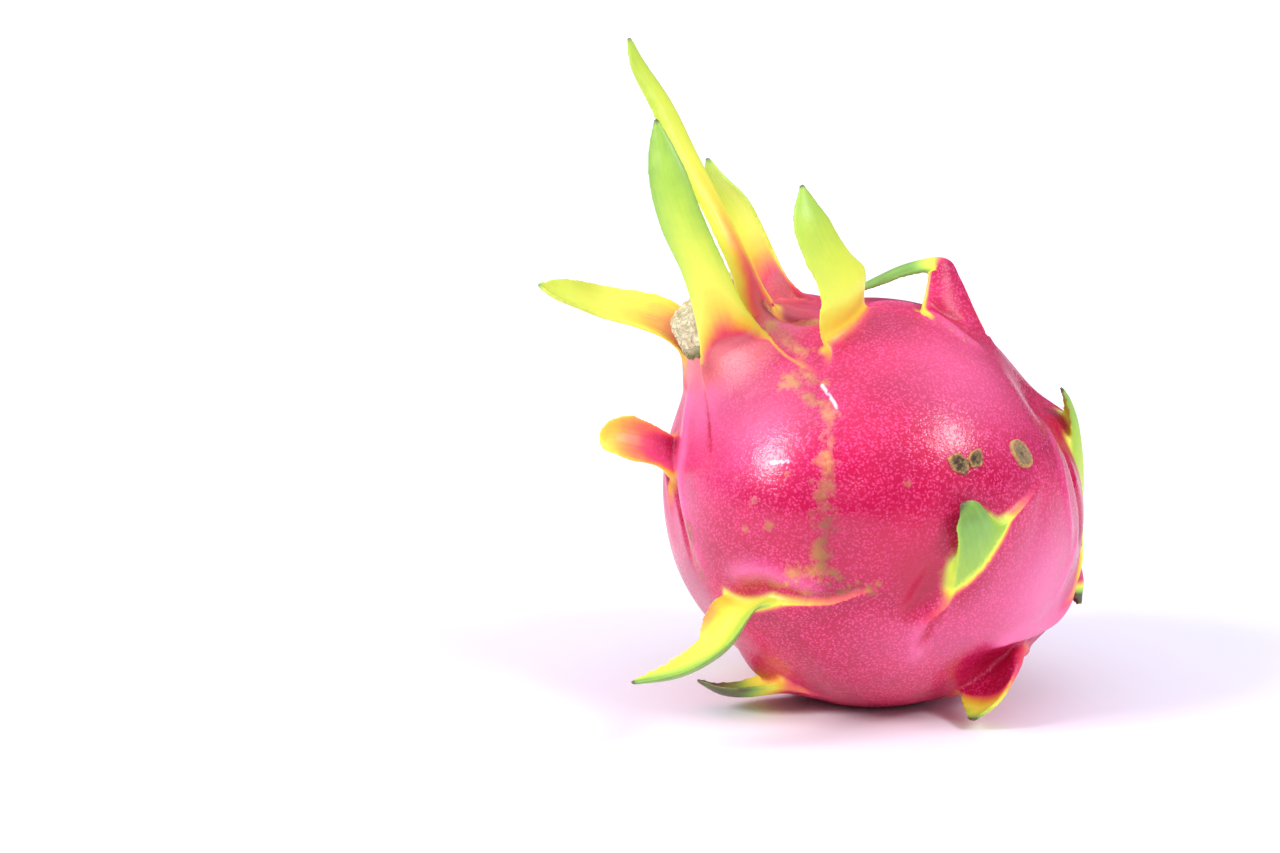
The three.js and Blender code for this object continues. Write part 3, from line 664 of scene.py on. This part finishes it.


# What the finish reads of each place: painted shading and tone, how deep the colour is (crimson
# above zero: painted shade in creases and hollows, with some of the peel's own deeper tone;
# pale below: painted highlight on crests and a painted reflection of the floor on the lower
# right, with the neck's own paleness), russet (how far off a scar's middle is), the glint line
# (how far off a painted glint's middle is), crown (how near the neck), blade and near_scale (1
# on a scale, and 0 from 2 or 9 mm off).
SCARS = (       # half-width and way: healed scratches and rubbed places, yellow-brown
    (2.6, ((-20.1, -28.9, 79.3), (-16.5, -33.3, 77.4), (-13.2, -37.5, 74.6), (-11.8, -39.7, 72.6))),
    (2.2, ((-17.5, -26.2, 82.4), (-15.1, -30.5, 80.2), (-13.4, -32.5, 79.3))),
    (1.7, ((-11.8, -39.7, 72.6), (-12, -43, 66), (-12.7, -45, 60.4))),
    (3.2, ((-12.7, -44.5, 62.4), (-13.1, -46.7, 56.5), (-13.1, -47.6, 51.1), (-14.4, -47, 46.3),
           (-13.4, -47, 41.6))),
    (2.8, ((-18, -45, 40.5), (-14, -46.6, 40.4), (-10, -46.9, 40))),
    (1.6, ((-43.4, -18, 49), (-41.8, -24, 44), (-39.5, -24, 34))),
    (1.0, ((-25.5, -7.5, 93.9), (-23, -11.6, 91.8), (-18, -13.3, 90.6), (-12.4, -12.6, 91))),
    (1.8, ((-22.7, -15.7, 88.6), (-19.5, -20, 85.9), (-16.3, -23.1, 84.8))),
    (1.6, ((-24.3, -42.2, 36.2), (-15.4, -45.4, 35.6), (-10.2, -45.7, 35.5), (-2.9, -47.5, 36.4))),
)
SPOTS = (       # radius and place: small olive mottles and cream flecks
    (2.2, (-18, -45.7, 39)), (1.7, (-24.7, -44.5, 50)), (1.8, (-28, -42, 55)), (1.5, (-31.5, -38, 59)),
    (1.6, (-30, -41, 48)), (1.5, (-42, -24, 51)), (1.3, (-39.6, -26, 38)), (1.2, (17.2, -15, 88.4)),
    (0.9, (20, -16, 86.4)), (0.9, (10.8, -18.4, 88.5)), (0.8, (31.2, -33.5, 65)), (1.3, (5, -47.5, 60)),
    (1.0, (-21.5, -29.5, 15.6)), (1.2, (22.4, -34, 18.5)), (1.0, (-19.5, -16, 5)),
    (1.5, (-21.1, -43.7, 61.4)), (1.8, (-9.4, -39.3, 73.8)), (1.5, (-38.1, -15, 80.3)), (1.2, (-4, -46, 17)),
    (1.6, (33, 34, 60)), (1.2, (-12, 47, 52)), (1.8, (8, 46, 30)), (1.3, (-36, 30, 40)), (1.1, (22, 38, 75)),
)
PAINTED_GLINTS = (   # painted glints: fine white lines where thin highlights run along a ridge and a streak
    ((-13, -32.9, 79.1), (-11.2, -36, 76.8), (-9.9, -38.2, 75)),
    ((-24.5, -41.2, 63.3), (-22.5, -42, 63.7), (-20.6, -42.7, 64.1)),
)
# Deeper patches in the hollows by the scales' roots, beside the flap and under the low scales are painted
# shade; the paler ones on the lower right are a painted reflection of the white floor; the rest are the
# peel's own deeper and paler tone.
PAINTED_SHADING_AND_TONE = (     # how deep, radius and place: painted shade, a painted reflection and the peel's own tone
    (0.45, 17, (4, -48, 52)), (0.35, 14, (-18, -45, 50)), (-0.5, 13, (-27, -33, 68)),
    (-0.45, 16, (20, -28, 78)), (-0.95, 17, (36, -30, 32)), (-0.4, 14, (10, -44, 26)),
    (0.9, 6, (44, -2, 62)), (0.9, 7, (46, -3, 54)), (0.8, 4, (-22, -8, 92.5)), (0.5, 5, (-16, -11, 91)),
    (-0.8, 8, (-39, -17, 71)), (-0.7, 5, (41, -20.8, 25.7)), (0.8, 5, (-16.5, -2, 92.6)),
    (0.9, 3, (-37.5, -16, 80)), (0.6, 8, (10, -47, 38)), (0.7, 6, (7, -48, 42)),
    (0.7, 6, (22, -30, 14)), (0.5, 6, (-30, -18, 9)), (0.4, 12, (30, 36, 50)),
    (-0.4, 14, (-8, 44, 70)), (0.4, 13, (-20, 42, 36)), (-0.4, 12, (-42, -16, 50)),
)
NOWHERE_NEAR = 9.0
WIDER_COLOUR = 1.4                      # how much wider a fold's colour is than its form
SCAR_HEIGHT = 3.0                       # mm up a blade where scars begin to fade
SPOT_MIDDLE, WART_MIDDLE = 0.35, -0.5   # the russet of a spot's and of a wart's middle
BLADE_WITHIN, NEAR_WITHIN = 2.0, 9.0    # mm off a scale at which its finish, and its nearness, end
points = vertices_of(fruit.data)
feet, height, direction = above_peel(points)
low = smooth((BLADE_HEIGHT - height) / (BLADE_HEIGHT - BARE_HEIGHT))
depth = np.zeros(len(points))
for rise, half, deeper, way in FOLDS:
    depth += deeper * low * fold_strength(feet, WIDER_COLOUR * half, way)
for deeper, radius, at in PAINTED_SHADING_AND_TONE:
    depth += deeper * np.exp(-((away_from(at, feet) / radius) ** 2))
russet = np.full(len(points), NOWHERE_NEAR)
for half, way in SCARS:
    fading = 2 * smooth((height - SCAR_HEIGHT) / SCAR_HEIGHT)
    russet = np.minimum(russet, along_way(feet, way)[0] / half + fading)
for radius, at in SPOTS:
    russet = np.minimum(russet, SPOT_MIDDLE + away_from(at, feet) / radius)
for at in WARTS:
    russet = np.minimum(russet, WART_MIDDLE + away_from(at, feet) / WART_RADIUS)
scratch = np.full(len(points), NOWHERE_NEAR)
for way in PAINTED_GLINTS:
    scratch = np.minimum(scratch, along_way(feet, way)[0])
gap_mm = read_attribute(fruit.data, "gap") / MM
for name, values in (("blade", smooth(1 - gap_mm / BLADE_WITHIN)), ("depth", depth), ("russet", russet),
                     ("near_scale", smooth(1 - gap_mm / NEAR_WITHIN)), ("scratch", scratch),
                     ("crown", direction @ CROWN_AXIS)):
    write_attribute(fruit.data, name, values)

# Peel. Waxed skin: hot crimson with fine pale grains, pinker to the crown, turning through
# orange and yellow to green along the scales. The wax gives a soft, broad highlight.
# 1.5 grains to the mm is somewhat coarser than real ones, so that they show.
tree, shader = new_material(fruit.data, "waxy_peel", {
    "Specular IOR Level": 0.6, "Subsurface Weight": 0.1, "Subsurface Scale": 1.0,
    "Subsurface Radius": (4.0 * MM, 1.6 * MM, 1.2 * MM)})
place = node(tree, "ShaderNodeTexCoord", output="Object")
READ = (*MARKS, "blade", "near_scale", "depth", "russet", "crown", "scratch")
read = {name: node(tree, "ShaderNodeAttribute", output="Fac", attribute_name=name) for name in READ}
SHARES = {      # what each is read from, where it is none, where it is full, and how much that is
    "crownward": ("crown", 0.35, 0.98, 1.0), "salmon": ("crown", 0.90, 0.975, 0.75),
    "flushed": ("depth", 0.0, 1.2, 0.85), "faded": ("depth", 0.0, -1.0, 0.75),
    "scratched": ("scratch", 0.6, 0.2, 0.9), "leafy": ("green", 0.03, 0.12, 1.0),
    "warty": ("russet", 0.6, 0.1, 1.0),
}
share = {name: node(tree, "ShaderNodeMapRange", [read[source], none, full, 0.0, most], 0)
         for name, (source, none, full, most) in SHARES.items()}
MOTTLES, PATCHES, CRUMBS, WRIGGLES, GRAINS = (per_mm / MM for per_mm in (0.06, 0.26, 0.62, 0.9, 1.5))
mottle = node(tree, "ShaderNodeTexNoise", {"Vector": place, "Scale": MOTTLES, "Detail": 4.0}, "Fac")
patchy = node(tree, "ShaderNodeTexNoise", {"Vector": place, "Scale": PATCHES, "Detail": 4.0}, "Fac")

# pale grains 0.4 mm wide and 0.7 mm apart, drawn out like short worms by a fine distortion
wriggle = node(tree, "ShaderNodeTexNoise", {"Vector": place, "Scale": WRIGGLES, "Detail": 1.0}, "Color")
wriggle = node(tree, "ShaderNodeVectorMath", [wriggle, (-0.5,) * 3], 0, operation="ADD")
wriggle = node(tree, "ShaderNodeVectorMath", [wriggle, (1.1 * MM,) * 3, place], 0, operation="MULTIPLY_ADD")
grains = node(tree, "ShaderNodeTexVoronoi", {"Vector": wriggle, "Scale": GRAINS}, "Distance", feature="F1")
grain = node(tree, "ShaderNodeMapRange", [grains, 0.54, 0.18], 0)
clear = node(tree, "ShaderNodeMapRange", [mottle, 0.3, 0.7, 0.42, 0.78], 0)
grain_share = node(tree, "ShaderNodeMath", [grain, clear], 0, operation="MULTIPLY")

# healed scars: ochre to beige crumbs with the pink showing between them
ragged = node(tree, "ShaderNodeTexNoise",
              {"Vector": place, "Scale": CRUMBS, "Detail": 5.0, "Roughness": 0.7}, "Fac")
crust = read["russet"]
for noise, strength in ((patchy, 3.4), (ragged, 2.6)):
    crust = node(tree, "ShaderNodeMath", [noise, strength, crust], 0, operation="MULTIPLY_ADD")
crust_share = node(tree, "ShaderNodeMapRange", [crust, 3.85, 2.75, 0.0, 0.80], 0)
warm, olive, beige = (
    node(tree, "ShaderNodeMix", {0: share["crownward"], 6: linear(far), 7: linear(near)}, 2, data_type="RGBA")
    for far, near in (("#CC0048", "#EC2A6E"), ("#80602A", "#BC8846"), ("#DC9C48", "#F6C084")))
dark_to_warm, olive_to_beige = (
    node(tree, "ShaderNodeMapRange", [mottle, 0.35, most], 0) for most in (0.7, 0.65))
crust_colour = node(tree, "ShaderNodeMix", {0: olive_to_beige, 6: olive, 7: beige}, 2, data_type="RGBA")
# the colour of the painted shade in creases and hollows, browner towards the crown
crimson = node(tree, "ShaderNodeMix", {0: share["salmon"], 6: linear("#BE003C"), 7: linear("#96283A")}, 2,
               data_type="RGBA")

# the scales, by how ripe they are, with fine veins along them
streak = node(tree, "ShaderNodeCombineXYZ", [read["across_mm"], read["along_mm"], read["inner"]], 0)
streak = node(tree, "ShaderNodeVectorMath", [streak, (1.3, 0.06, 1.0)], 0, operation="MULTIPLY")
veins = node(tree, "ShaderNodeTexNoise", {"Vector": streak, "Scale": 1.0, "Detail": 3.0}, "Fac")
ripeness = read["green"]
for noise, strength in ((patchy, 0.10), (veins, 0.07)):
    about_zero = node(tree, "ShaderNodeMath", [noise, 0.5], 0, operation="SUBTRACT")
    ripeness = node(tree, "ShaderNodeMath", [about_zero, strength, ripeness], 0, operation="MULTIPLY_ADD")
ramp = node(tree, "ShaderNodeValToRGB", [ripeness])
RIPENESS = ((0.0, "#E02060"), (0.08, "#F04468"), (0.15, "#F6805C"), (0.22, "#FBB448"), (0.30, "#FADC40"),
            (0.44, "#F2F452"), (0.60, "#D8EA4A"), (0.77, "#AAD24A"), (0.88, "#82B44A"), (1.0, "#56562C"))
while len(ramp.color_ramp.elements) < len(RIPENESS):
    ramp.color_ramp.elements.new(0.5)
for element, (position, colour) in zip(ramp.color_ramp.elements, RIPENESS):
    element.position = position
    element.color = linear(colour)
warty = node(tree, "ShaderNodeMath", [crust_share, share["warty"]], 0, operation="MULTIPLY")
leafy = node(tree, "ShaderNodeMix", {0: warty, 6: ramp.outputs["Color"], 7: linear("#F2A64A")}, 2,
             data_type="RGBA")
on_scale = node(tree, "ShaderNodeMath", [share["leafy"], read["blade"]], 0, operation="MULTIPLY")

# the relief in mm where each pattern is at its height, and the wax, rougher by scales and crusts
bare = node(tree, "ShaderNodeMath", [1.0, on_scale], 0, operation="SUBTRACT")
relief = 0.0
for pattern, where, rise in ((grain, bare, 0.03), (ragged, crust_share, 0.5), (veins, on_scale, 0.08),
                             (patchy, 1.0, 0.16)):
    there = node(tree, "ShaderNodeMath", [pattern, where], 0, operation="MULTIPLY")
    relief = node(tree, "ShaderNodeMath", [there, rise, relief], 0, operation="MULTIPLY_ADD")
roughness = 0.25
for where, more in ((read["near_scale"], 0.16), (crust_share, 0.3)):
    roughness = node(tree, "ShaderNodeMath", [where, more, roughness], 0, operation="MULTIPLY_ADD")
tree.links.new(roughness, shader.inputs["Roughness"])


def paint(tree, shader, ground, layers, relief, height):
    """Lays colours over a ground, each by its share, and gives the relief a height in mm."""
    colour = linear(ground)
    for amount, layer in layers:
        layer = linear(layer) if isinstance(layer, str) else layer
        colour = node(tree, "ShaderNodeMix", {0: amount, 6: colour, 7: layer}, 2, data_type="RGBA")
    tree.links.new(colour, shader.inputs["Base Color"])
    bump = node(tree, "ShaderNodeBump", {"Height": relief, "Distance": height * MM, "Strength": 1.0})
    tree.links.new(bump.outputs["Normal"], shader.inputs["Normal"])


# The deep crimson layer is painted shade in the creases and hollows, with some of the peel's own deeper tone;
# the pale pink #FF7CB4 is a painted highlight on the crests and a painted reflection of the floor on the
# lower right, with the neck's own paleness; the near-white FBE6F4 is painted glints along thin highlights.
paint(tree, shader, "#B20042", (
    (dark_to_warm, warm), (grain_share, "#FF5499"), (share["salmon"], "#EE827C"),
    (share["flushed"], crimson), (share["faded"], "#FF7CB4"), (crust_share, crust_colour),
    (share["scratched"], "#FBE6F4"), (on_scale, leafy)), relief, 1.0)

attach(fruit, "root")
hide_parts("fruit")

# ---------------------------------------------------------------------------------------
# Scabs. Dry, corky blisters that grew over old wounds of the peel: a round pair and a longer
# one. Each is a thin crust that sits on the skin, sunken in the middle, with a raised rim.

SCABS = (       # place, half-length, half-width, lean in degrees, and how dark its middle is
    ((16.2, -44, 63.7), 2.7, 2.2, 20, 1.0),
    ((19.9, -42, 64.4), 2.3, 1.9, -35, 0.8),
    ((30.9, -34.5, 64), 4.1, 2.8, 28, 0.25),
)
SCAB_RINGS, SCAB_SPOKES = 22, 72
SCAB_RISE, RIM_RISE, CRUMB_RISE = 0.25, 0.45, 0.10
RIM_PLACE, RIM_BREADTH = 0.80, 0.13     # of the raised rim, as shares of the radius
OCHRE_PLACE, OCHRE_BREADTH = 0.85, 0.16
EDGE_PLACE, EDGE_DROP = 0.9, 0.9        # where the edge turns down, and by how much
SMOOTH_EDGE, PINHOLE = 0.97, 0.01       # where crumbs end, and the share at the very middle


def wavy(angle, seed, size):
    """A ragged closed curve about zero."""
    rng = np.random.default_rng(seed)
    waves = [rng.normal() / k * np.cos(k * angle + rng.uniform(0, 6.3)) for k in range(2, 9)]
    return size * np.sum(waves, axis=0)


def tube_faces(rows, spokes, first=0):
    """Faces of a closed skin over rows of points, the first of which has this number."""
    faces = []
    for row in range(rows - 1):
        for i in range(spokes):
            a, b = (first + row * spokes + k for k in (i, (i + 1) % spokes))
            faces.append((a, b, b + spokes, a + spokes))
    last = first + (rows - 1) * spokes
    return [*faces, tuple(reversed(range(first, first + spokes))), tuple(range(last, last + spokes))]


scab_points, scab_faces, scab_rim, scab_dark = [], [], [], []
angle = np.linspace(0, 2 * math.pi, SCAB_SPOKES, endpoint=False)
for number, (at, long, short, lean, dark) in enumerate(SCABS):
    middle = on_peel(np.array(at, float))
    out = unit(middle - BODY_CENTRE)
    upward = turned(unit(np.array((0, 0, 1.0)) - out * out[2]), out, lean)
    aside = np.cross(upward, out)
    oval = np.cos(angle)[:, None] * upward * long + np.sin(angle)[:, None] * aside * short
    edge = 1 + wavy(angle, 3 + number, 0.12)
    scab_faces += tube_faces(SCAB_RINGS + 1, SCAB_SPOKES, first=SCAB_SPOKES * len(scab_points))
    for ring in range(SCAB_RINGS + 1):
        share = max(ring / SCAB_RINGS, PINHOLE)
        rng = np.random.default_rng(40 + 50 * number + ring)
        crumbs = CRUMB_RISE * rng.normal(size=SCAB_SPOKES) * (share < SMOOTH_EDGE)
        rise = SCAB_RISE + RIM_RISE * math.exp(-((share - RIM_PLACE) / RIM_BREADTH) ** 2)
        rise -= EDGE_DROP * max(share - EDGE_PLACE, 0) / (1 - EDGE_PLACE)
        scab_points.append(on_peel(middle + (share * edge)[:, None] * oval, rise + crumbs))
        scab_rim.append(np.full(SCAB_SPOKES, math.exp(-((share - OCHRE_PLACE) / OCHRE_BREADTH) ** 2)))
        scab_dark.append(np.full(SCAB_SPOKES, dark))
scabs = mesh_object("scabs", np.vstack(scab_points), scab_faces)
write_attribute(scabs.data, "rim", np.concatenate(scab_rim))
write_attribute(scabs.data, "dark", np.concatenate(scab_dark))
scabs.data.shade_smooth()

# Cork. Dry and matt: brown-grey inside, with an ochre rim.
tree, shader = new_material(scabs.data, "dry_cork_scab", {"Roughness": 0.75})
CORK_CRUMBS = 1.1 / MM
place = node(tree, "ShaderNodeTexCoord", output="Object")
rim, dark = (node(tree, "ShaderNodeAttribute", output="Fac", attribute_name=name) for name in ("rim", "dark"))
crumbs = node(tree, "ShaderNodeTexNoise", {"Vector": place, "Scale": CORK_CRUMBS, "Detail": 4.0}, "Fac")
pale, ragged = (node(tree, "ShaderNodeMapRange", [crumbs, none, full], 0)
                for none, full in ((0.4, 0.7), (0.3, 0.6)))
rim_share = node(tree, "ShaderNodeMath", [rim, ragged], 0, operation="MULTIPLY")
paint(tree, shader, "#A08A68", ((dark, "#5C4630"), (pale, "#B79C74"), (rim_share, "#CF9A58")), crumbs, 0.5)
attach(scabs, "root")

# ---------------------------------------------------------------------------------------
# Flower remnant. The corky ring that the withered flower left in the crown: a lathed foot
# with a rolled lip and a hollow top, wrinkled all over, seated loosely in the neck.

STUB_RADIUS, STUB_SEAT, STUB_HEIGHT = 11.2, 51.8, 11.0
STUB_STEPS, STUB_SPOKES = 150, 260
STUB_TOP = STUB_SEAT + STUB_HEIGHT
STUB_PROFILE = (        # radius and height along the crown's axis
    (0.05, STUB_SEAT), (STUB_RADIUS - 0.9, STUB_SEAT), (STUB_RADIUS - 0.1, STUB_SEAT + 1.4),
    (STUB_RADIUS, STUB_SEAT + 3.0), (STUB_RADIUS - 0.6, STUB_TOP - 4.6),
    (STUB_RADIUS - 1.4, STUB_TOP - 1.6), (STUB_RADIUS - 2.2, STUB_TOP - 0.3),
    (STUB_RADIUS - 3.4, STUB_TOP - 0.2), (STUB_RADIUS - 4.8, STUB_TOP - 1.1),
    (STUB_RADIUS - 7.5, STUB_TOP - 1.5), (0.05, STUB_TOP - 1.5),
)


def lathed(name, profile, axis, spokes, steps, roughen):
    """A lathed piece about an axis from the body's centre, which carries the share of its profile.
    roughen gives the height of wrinkles at (angle, mm run along the profile, share of it)."""
    curve = Curve([(r, h, 0) for r, h in profile])
    side = unit(np.cross(axis, (0, 1, 0)))
    front = np.cross(side, axis)
    angle = np.linspace(0, 2 * math.pi, spokes, endpoint=False)[:, None]
    radial = np.cos(angle) * front + np.sin(angle) * side
    rows, shares = [], []
    for share in np.linspace(0, 1, steps):
        t = curve.time(share)
        r, h, _ = curve.at(t)
        dr, dh, _ = curve.tangent(t)
        bulge = roughen(angle[:, 0], share * curve.length, share)[:, None]
        rows.append(BODY_CENTRE + radial * (r + dh * bulge) + axis * (h - dr * bulge))
        shares.append(np.full(spokes, share))
    made = mesh_object(name, np.vstack(rows), tube_faces(steps, spokes))
    write_attribute(made.data, "share", np.concatenate(shares))
    made.data.shade_smooth()
    return made


def stub_wrinkles(angle, run, share):
    """Knobbly rings and fine fibres, which die out at the foot and in the hollow."""
    across = np.sin(23 * angle + 1.3 * np.sin(run * 0.9))
    along = np.sin(run * 1.7 + 2 * np.sin(5 * angle))
    fibres = np.sin(71 * angle + 0.7 * run)
    return (0.22 * across * along + 0.10 * fibres) * smooth(share / 0.3) * smooth((1 - share) / 0.15)


stub = lathed("flower_remnant", STUB_PROFILE, CROWN_AXIS, STUB_SPOKES, STUB_STEPS, stub_wrinkles)

# Dry cork. Cream ridges over khaki hollows: the cork's own mottling, with a painted highlight
# on the raised crumbs and painted shade in the grooves of the cell walls. Darker and olive at
# the foot: a painted shadow where it sits in the neck.
tree, shader = new_material(stub.data, "withered_cork", {"Roughness": 0.85})
CRUMBS, BENDS, CELLS = (per_mm / MM for per_mm in (0.5, 0.35, 0.52))
place = node(tree, "ShaderNodeTexCoord", output="Object")
share = node(tree, "ShaderNodeAttribute", output="Fac", attribute_name="share")
crumbs = node(tree, "ShaderNodeTexNoise", {"Vector": place, "Scale": CRUMBS, "Detail": 5.0}, "Fac")
bent = node(tree, "ShaderNodeTexNoise", {"Vector": place, "Scale": BENDS, "Detail": 2.0}, "Color")
bent = node(tree, "ShaderNodeVectorMath", [bent, (4.0 * MM,) * 3, place], 0, operation="MULTIPLY_ADD")
cells = node(tree, "ShaderNodeTexVoronoi", {"Vector": bent, "Scale": CELLS}, "Distance",
             feature="DISTANCE_TO_EDGE")
cream, wall, painted_foot_shadow = (node(tree, "ShaderNodeMapRange", [source, none, full], 0) for source, none, full in
                     ((crumbs, 0.35, 0.7), (cells, 0.16, 0.02), (share, 0.52, 0.44)))
painted_wall_shade = node(tree, "ShaderNodeMath", [wall, 0.45], 0, operation="MULTIPLY")
relief = node(tree, "ShaderNodeMath", [wall, -0.5, crumbs], 0, operation="MULTIPLY_ADD")
paint(tree, shader, "#DCCFA0", ((cream, "#F6EECB"), (painted_wall_shade, "#A2966C"), (painted_foot_shadow, "#7C7A4A")), relief, 0.4)
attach(stub, "root")
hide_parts("flower_stub")

# ---------------------------------------------------------------------------------------
# Stalk end. The cut, callused end of the stem in its dimple opposite to the crown: woody,
# with a ring of vessels about a softer pith.

STALK_RADIUS, STALK_SEAT, STALK_HEIGHT = 5.4, 41.5, 6.0
STALK_STEPS, STALK_SPOKES = 90, 160
STALK_TOP = STALK_SEAT + STALK_HEIGHT
STALK_PROFILE = (       # radius and height along the crown's axis, turned round
    (0.05, STALK_SEAT), (STALK_RADIUS - 0.6, STALK_SEAT), (STALK_RADIUS - 0.2, STALK_TOP - 1.6),
    (STALK_RADIUS - 0.4, STALK_TOP - 0.5), (STALK_RADIUS - 1.2, STALK_TOP - 0.1),
    (STALK_RADIUS - 2.4, STALK_TOP - 0.5), (0.05, STALK_TOP - 0.6),
)


def stalk_wrinkles(angle, run, share):
    """Ribs of shrunken bark, which die out at the foot and on the cut."""
    bark = 0.14 * np.sin(17 * angle + 0.4 * run) + 0.06 * np.sin(43 * angle)
    return bark * smooth(share / 0.3) * smooth((1 - share) / 0.4)


stalk = lathed("stalk_end", STALK_PROFILE, -CROWN_AXIS, STALK_SPOKES, STALK_STEPS, stalk_wrinkles)

# Wood. Grey-brown bark and callus, a darker ring of vessels and a paler pith.
tree, shader = new_material(stalk.data, "callused_wood", {"Roughness": 0.8})
WOOD_GRAINS, VESSEL_RINGS = 0.7 / MM, 14.0
place = node(tree, "ShaderNodeTexCoord", output="Object")
share = node(tree, "ShaderNodeAttribute", output="Fac", attribute_name="share")
grain = node(tree, "ShaderNodeTexNoise", {"Vector": place, "Scale": WOOD_GRAINS, "Detail": 4.0}, "Fac")
inward = node(tree, "ShaderNodeCombineXYZ", [share], 0)
rings = node(tree, "ShaderNodeTexWave", {"Vector": inward, "Scale": VESSEL_RINGS}, "Fac", bands_direction="X")
pale, on_cut, pith = (node(tree, "ShaderNodeMapRange", [source, none, full, 0.0, most], 0) for
                      source, none, full, most in
                      ((grain, 0.35, 0.7, 1.0), (share, 0.74, 0.80, 0.5), (share, 0.88, 0.95, 1.0)))
vessels = node(tree, "ShaderNodeMath", [rings, on_cut], 0, operation="MULTIPLY")
paint(tree, shader, "#6F5F3C", ((pale, "#A8925E"), (vessels, "#4C3E28"), (pith, "#B9A777")), grain, 0.4)
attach(stalk, "root")
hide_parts("stalk_end")
